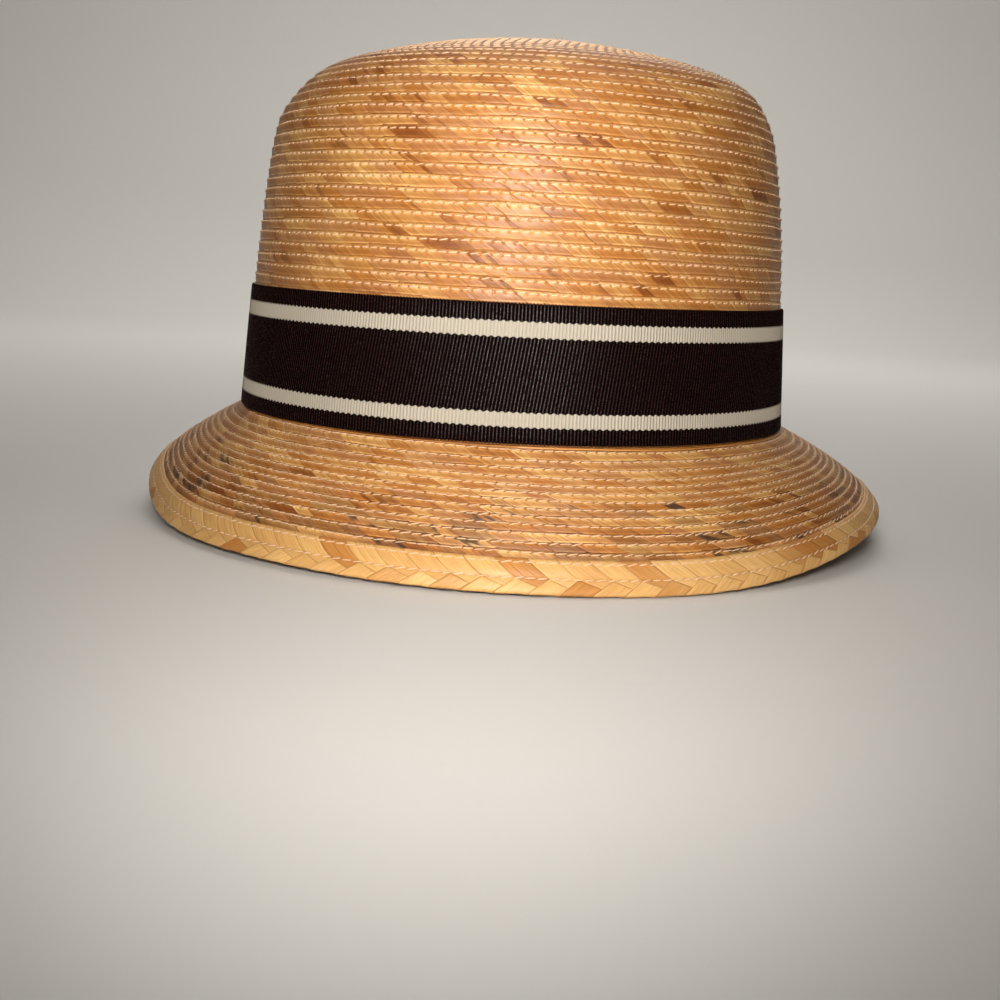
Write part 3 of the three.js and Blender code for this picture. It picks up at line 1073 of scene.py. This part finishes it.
def brim_line(hidden=False):
    """The thread of the brim, from the ribbon to the edge braid or on under it."""
    courses = bpy.context.scene.straw_hat.braid.brim_courses
    return stitch_line(brim_spiral, BRIM_STITCH_SHARE, 0.0, courses - (0 if hidden else 0.39))


def whole_stitches(settings, length):
    """How many stitches fit a line of this length in millimetres."""
    return round(length * MM / settings.thread.pitch)


def even_pitch(settings, line):
    """From one stitch to the next along a line of thread, in millimetres."""
    return line.length[-1] / whole_stitches(settings, line.length[-1])


def line_object(name, lines):
    """Lines of thread as a mesh of edges that carry their outward direction."""
    points, outward, edges, start = [], [], [], 0
    for path, away in lines:
        points.append(path)
        outward.append(away)
        number = np.arange(start, start + len(path) - 1)
        edges.append(np.stack([number, number + 1], -1))
        start += len(path)
    mesh = bpy.data.meshes.new(name)
    mesh.from_pydata(np.concatenate(points) * MM + hat_origin(), np.concatenate(edges), [])
    layer = mesh.attributes.new("outward", "FLOAT_VECTOR", "POINT")
    layer.data.foreach_set("vector", np.concatenate(outward).astype(np.float32).ravel())
    return add_object(name, mesh)


def stitch_object(length, thickness):
    """One stitch of 24 faces: a four-sided thread that rises from one hole and sinks into the next."""
    radius = thickness / 2
    points = []
    for along, rise, size in STITCH_FORM:
        ring = (0.5, 1.5, 2.5, 3.5) if size else (0,)
        for quarter in ring:
            angle = TURN * quarter / 4
            side, up = math.cos(angle) * radius * size, math.sin(angle) * radius * size
            points.append((along * length, side, rise * radius + up))
    faces = []
    for k in range(4):
        after = (k + 1) % 4
        faces.append((0, 1 + after, 1 + k))
        for band in (1, 5):
            faces.append((band + k, band + after, band + 4 + after, band + 4 + k))
        faces.append((9 + k, 9 + after, 13))
    mesh = bpy.data.meshes.new("stitch")
    mesh.from_pydata(points, [], faces)
    return add_object("stitch", mesh)


def crown_dusk(graph, v):
    """The crown's strands are darker near its tip."""
    return 0.55 * graph.fade(v, 9.0, 17.0)


def brim_dusk(graph, v):
    """Darker strands come in the outer courses."""
    return graph.ramp(v, 4.0, 9.0)


class HAT_OT_crown(bpy.types.Operator):
    """Build the crown's spiral of braid, outside and inside"""
    bl_idname = "straw_hat.crown"
    bl_label = "Crown"

    def execute(self, context):
        settings = context.scene.straw_hat
        sizes = settings.braid
        pitch, wall = sizes.course_pitch / MM, sizes.wall / MM
        line = crown_line(hidden=True)
        shell = Shell()
        # Behind the ribbon the outside is plain, but for its first course and a half.
        visible = (CROWN_LENGTH - settings.ribbon.width / MM) / pitch + 1.5
        _, last = spiral(
            shell, crown_spiral, visible, OUTSIDE_ROWS, CROWN_COLUMNS, 0.0, sizes.course_rise / MM, line
        )
        turn = SPIRAL_START + TURN * np.arange(CROWN_COLUMNS) / CROWN_COLUMNS
        for down in np.linspace(visible * pitch, CROWN_LENGTH, 4)[1:]:
            ring = shell.add(*crown_surface(np.full(CROWN_COLUMNS, down), turn))
            shell.strip(last, ring)
            last = ring
        _, inner = spiral(
            shell, crown_spiral, CROWN_LENGTH / pitch, INSIDE_ROWS, CROWN_COLUMNS, -wall,
            -sizes.inside_rise / MM, line, True,
        )
        shell.strip(last, inner)
        piece = shell.build("crown_braid")
        finish = straw_material(
            "crown straw", settings, even_pitch(settings, crown_line()), CROWN_STITCH_SHARE, CROWN_PALENESS,
            crown_dusk,
        )
        apply_tree(piece, relief_tree(), {"Finish": finish})
        show(piece, "straw", "crown")
        return {"FINISHED"}


class HAT_OT_brim(bpy.types.Operator):
    """Build the brim's courses, above and below"""
    bl_idname = "straw_hat.brim"
    bl_label = "Brim"

    def execute(self, context):
        settings = context.scene.straw_hat
        sizes = settings.braid
        wall = sizes.wall / MM
        line = brim_line(hidden=True)
        shell = Shell()
        root, upper = spiral(
            shell, brim_spiral, sizes.brim_courses, OUTSIDE_ROWS, BRIM_COLUMNS, 0.0, sizes.course_rise / MM,
            line,
        )
        foot, under = spiral(
            shell, brim_spiral, sizes.brim_courses, INSIDE_ROWS, BRIM_COLUMNS, -wall,
            -sizes.inside_rise / MM, line, True,
        )
        shell.strip(upper, under)
        # The inside ends at the crown's inside wall, from where a level band runs out to the first course.
        turn = SPIRAL_START + TURN * np.arange(BRIM_COLUMNS) / BRIM_COLUMNS
        throat, outward = crown_surface(np.full(BRIM_COLUMNS, CROWN_LENGTH), turn, -wall)
        throat[:, 2] = -GAP
        ring = shell.add(throat, outward)
        shell.strip(foot, ring)
        shell.strip(ring, root)
        piece = shell.build("brim_braid")
        finish = straw_material(
            "brim straw", settings, even_pitch(settings, brim_line()), BRIM_STITCH_SHARE, BRIM_PALENESS,
            brim_dusk,
        )
        apply_tree(piece, relief_tree(), {"Finish": finish})
        show(piece, "straw", "brim")
        return {"FINISHED"}


class HAT_OT_edge_braid(bpy.types.Operator):
    """Build the wide braid along the edge of the brim"""
    bl_idname = "straw_hat.edge_braid"
    bl_label = "Edge Braid"

    def execute(self, context):
        settings = context.scene.straw_hat
        azimuth = SPIRAL_START + TURN * np.arange(EDGE_COLUMNS + 1) / EDGE_COLUMNS
        # Its pattern is measured near the rim and closes after a whole number of strands.
        along = lengths_along(brim_face(np.full(EDGE_COLUMNS + 1, 1.7), azimuth))
        strand = settings.braid.edge_strand / MM
        along *= round(along[-1] / strand) * strand / along[-1]
        # The rim dips between two strands.
        notch = EDGE_NOTCH * np.abs(np.mod(along / strand + 0.35, 1) - 0.15)
        shell = Shell()
        rows = [*EDGE_FORM, *((share, -depth) for share, depth in EDGE_UNDER)]
        ids = []
        for share, rise in rows:
            course = EDGE_START + (2 - EDGE_START) * share - notch[:-1] * (share > 0.9)
            ring = shell.add(*brim_surface(course, azimuth[:-1], rise))
            ids.append(np.append(ring, ring[0]))
        shell.tube(ids, [share for share, _ in rows], along)
        piece = shell.build("edge_braid_straw")
        apply_tree(piece, relief_tree(), {"Finish": edge_material("edge straw", settings)})
        show(piece, "edge_straw", "edge_braid")
        return {"FINISHED"}


class HAT_OT_stitches(bpy.types.Operator):
    """Sew the courses of the crown, the brim and the edge braid"""
    bl_idname = "straw_hat.stitches"
    bl_label = "Stitches"

    def execute(self, context):
        settings = context.scene.straw_hat
        thread = settings.thread
        finish = thread_material("cream thread", settings)
        tree = stitch_tree()
        round_trip = SPIRAL_START + TURN * np.linspace(0, 1, EDGE_POINTS)
        edge_lines = [
            brim_surface(np.full(EDGE_POINTS, EDGE_START + (2 - EDGE_START) * share), round_trip, lift)
            for share, lift in EDGE_LINES
        ]
        crown, brim = crown_line(), brim_line()
        for seam, lines, slot in (
            (CROWN_SEAM, [(crown.points, crown.outward)], "straw"),
            (BRIM_SEAM, [(brim.points, brim.outward)], "straw"),
            (EDGE_SEAM, edge_lines, "edge_straw"),
        ):
            stitch = stitch_object(thread.length * seam.stretch, thread.thickness * seam.body)
            length = lengths_along(lines[0][0])[-1]
            piece = line_object(seam.piece, lines)
            apply_tree(piece, tree, {
                "Stitch": stitch, "Count": whole_stitches(settings, length) + 1,
                "Tilt": math.radians(seam.tilt), "Wander": math.radians(seam.wander), "Seed": seam.seed,
                "Finish": finish,
            })
            show(piece, slot)
            bpy.data.objects.remove(stitch)
        return {"FINISHED"}


class HAT_OT_ribbon(bpy.types.Operator):
    """Wind the striped ribbon round the crown, with its lapped end at the back"""
    bl_idname = "straw_hat.ribbon"
    bl_label = "Ribbon"

    def execute(self, context):
        settings = context.scene.straw_hat
        sizes = settings.ribbon
        width, thick, rib, lap = (size / MM for size in (sizes.width, sizes.thickness, sizes.rib, sizes.lap))
        # The way round the crown, from the back, and the length to each point of it.
        fine = np.linspace(0, 1, RIBBON_POINTS)
        down = np.full(RIBBON_POINTS, CROWN_LENGTH - width / 2)
        middle = crown_surface(down, math.pi + TURN * fine, GAP + thick)[0]
        table = lengths_along(middle)
        girth = table[-1]
        columns = round((girth + lap) / (rib / 4))
        along = (girth + lap) * np.arange(columns + 1) / columns
        # The ribs lean, but not at the two ends, and the last end rises over the first.
        leaning = np.clip(np.minimum(along, girth + lap - along) / RIBBON_EASE, 0, 1)
        over = np.clip((along - girth + LAP_START) / LAP_CLIMB, 0, 1)
        over = over * over * (3 - 2 * over) * (thick + LAP_GAP)
        (first, second), (third, fourth) = RIBBON_STRIPES
        outside = (0, 0.006, 0.06, first, second, 0.33, 0.42, 0.5, 0.58, 0.68, third, fourth, 0.94, 0.994, 1)
        rows = [(share, True) for share in outside] + [(share, False) for share in RIBBON_INSIDE]
        shell = Shell()
        ids = []
        for share, face in rows:
            lean = RIBBON_SKEW * np.clip((0.5 - share) / (third - 0.5), -1, 1)
            place = along + lean * leaning
            azimuth = math.pi + TURN * np.interp(np.mod(place, girth), table, fine)
            scallop = RIBBON_SCALLOP * np.cos(along * TURN / rib) * (share in (0, 1))
            down = CROWN_LENGTH - GAP - width * (1 - share) + scallop * (1 if share else -1)
            side = min(share, 1 - share) < 0.003
            lift = GAP + over + (thick - (RIBBON_EDGE if side else 0)) * face
            points, outward = crown_surface(down + 0 * along, azimuth, lift)
            ids.append(shell.add(points, outward, 0, 0.0 if side or not face else RIBBON_SWELL, along))
        shell.tube(ids, [share for share, _ in rows], along)
        piece = shell.build("striped_ribbon", fill=True)
        apply_tree(piece, rib_tree(), {"Rib": rib, "Finish": ribbon_material("striped ribbon", settings)})
        show(piece, "ribbon", "ribbon_band")
        (girth + lap) * MM
        return {"FINISHED"}


class HAT_OT_loose_ends(bpy.types.Operator):
    """Add the few straw ends that stand off the braid"""
    bl_idname = "straw_hat.loose_ends"
    bl_label = "Loose Ends"

    def execute(self, context):
        lines = []
        # Each end starts just under the face of the straw and lifts off it.
        share = np.linspace(0, 1, 7)
        for place, course, degrees, length, lift, heading in LOOSE_ENDS:
            surface = crown_spiral if place == "crown" else brim_spiral
            azimuth, turn = math.radians(degrees), math.radians(heading)
            centre, outward = surface(np.array([course]), np.array([azimuth]))
            below = surface(np.array([course + 0.1]), np.array([azimuth]))[0] - centre
            below /= np.linalg.norm(below)
            side = np.cross(outward, below)
            way = below * math.cos(turn) - side * math.sin(turn)
            path = centre + way * (length * share)[:, None] + outward * (lift * share ** 1.5 - 0.15)[:, None]
            lines.append((path, np.repeat(outward, len(share), axis=0)))
        piece = line_object("loose_ends", lines)
        finish = splinter_material("straw end", context.scene.straw_hat)
        apply_tree(piece, splinter_tree(), {"Thickness": SPLINTER * MM, "Finish": finish})
        show(piece, "straw")
        return {"FINISHED"}


class HAT_OT_stage(bpy.types.Operator):
    """Set the camera, the floor and the light"""
    bl_idname = "straw_hat.stage"
    bl_label = "Stage"

    def execute(self, context):
        settings = context.scene.straw_hat.stage
        self.camera(context, settings)
        self.floor(settings)
        self.lights(context)
        context.scene.view_settings.view_transform = "Standard"
        return {"FINISHED"}

    def camera(self, context, settings):
        yaw, pitch, roll = settings.camera_yaw, settings.camera_pitch, settings.camera_roll
        ahead = Vector((
            math.sin(yaw) * math.cos(pitch), math.cos(yaw) * math.cos(pitch), -math.sin(pitch)
        ))
        level = Vector((math.cos(yaw), -math.sin(yaw), 0))
        up = level.cross(ahead)
        right = level * math.cos(roll) + up * math.sin(roll)
        up = up * math.cos(roll) - level * math.sin(roll)
        camera = add_object("camera", bpy.data.cameras.new("camera"))
        camera.data.lens = settings.lens
        camera.data.sensor_width = 36
        camera.data.clip_start = 0.01
        turn = Matrix((right, up, -ahead)).transposed().to_4x4()
        spot = Vector(hat_origin()) + Vector((0, -settings.camera_back, settings.camera_up))
        camera.matrix_world = Matrix.Translation(spot) @ turn
        context.scene.camera = camera

    def floor(self, settings):
        """A floor that sweeps up into a backdrop."""
        half, front, back, radius, top, sunk = 2.5, -2.5, 1.1, 0.5, 2.6, 0.0001
        sweep = [
            (back + radius * math.sin(angle), radius * (1 - math.cos(angle)))
            for angle in np.linspace(0, math.pi / 2, 13)[1:]
        ]
        line = [(front, 0.0), (back, 0.0), *sweep, (back + radius, top)]
        points = [(x, y, z - sunk) for y, z in line for x in (-half, half)]
        faces = [(2 * i, 2 * i + 1, 2 * i + 3, 2 * i + 2) for i in range(len(line) - 1)]
        mesh = bpy.data.meshes.new("floor")
        mesh.from_pydata(points, [], faces)
        mesh.shade_smooth()
        mesh.materials.append(floor_material("pale floor", settings.floor))
        add_object("floor", mesh)

    def lights(self, context):
        for lamp in LAMPS:
            light = bpy.data.lights.new(lamp.name, "AREA")
            light.size, light.energy, light.color = lamp.side, lamp.power, lamp.tint
            light.spread = math.radians(lamp.spread)
            holder = add_object(lamp.name, light)
            holder.location = lamp.spot
            holder.rotation_euler = (Vector(lamp.spot) - Vector(lamp.aim)).to_track_quat("Z", "Y").to_euler()
        world = bpy.data.worlds.new("studio")
        world.use_nodes = True
        glow = world.node_tree.nodes["Background"].inputs
        glow["Color"].default_value = (*SOFT, 1)
        glow["Strength"].default_value = WORLD_STRENGTH
        context.scene.world = world


class HAT_PT_panel(bpy.types.Panel):
    """Lists the steps that build the hat"""
    bl_idname = "HAT_PT_panel"
    bl_label = "Straw Hat"
    bl_space_type = "VIEW_3D"
    bl_region_type = "UI"
    bl_category = "Straw Hat"

    def draw(self, context):
        for operator in OPERATORS:
            self.layout.operator(operator.bl_idname)


OPERATORS = (
    HAT_OT_stage, HAT_OT_crown, HAT_OT_brim, HAT_OT_edge_braid, HAT_OT_stitches, HAT_OT_ribbon,
    HAT_OT_loose_ends,
)
CLASSES = (
    BraidSizes, ThreadSizes, StrawColours, RibbonSizes, StageSettings, HatSettings, *OPERATORS, HAT_PT_panel,
)


def register():
    for item in CLASSES:
        bpy.utils.register_class(item)
    bpy.types.Scene.straw_hat = PointerProperty(type=HatSettings)


def unregister():
    del bpy.types.Scene.straw_hat
    for item in reversed(CLASSES):
        bpy.utils.unregister_class(item)


def main():
    register()
    bpy.ops.straw_hat.stage()
    bpy.ops.straw_hat.crown()
    bpy.ops.straw_hat.brim()
    bpy.ops.straw_hat.edge_braid()
    bpy.ops.straw_hat.stitches()
    bpy.ops.straw_hat.ribbon()
    bpy.ops.straw_hat.loose_ends()


if __name__ == "__main__":
    main()
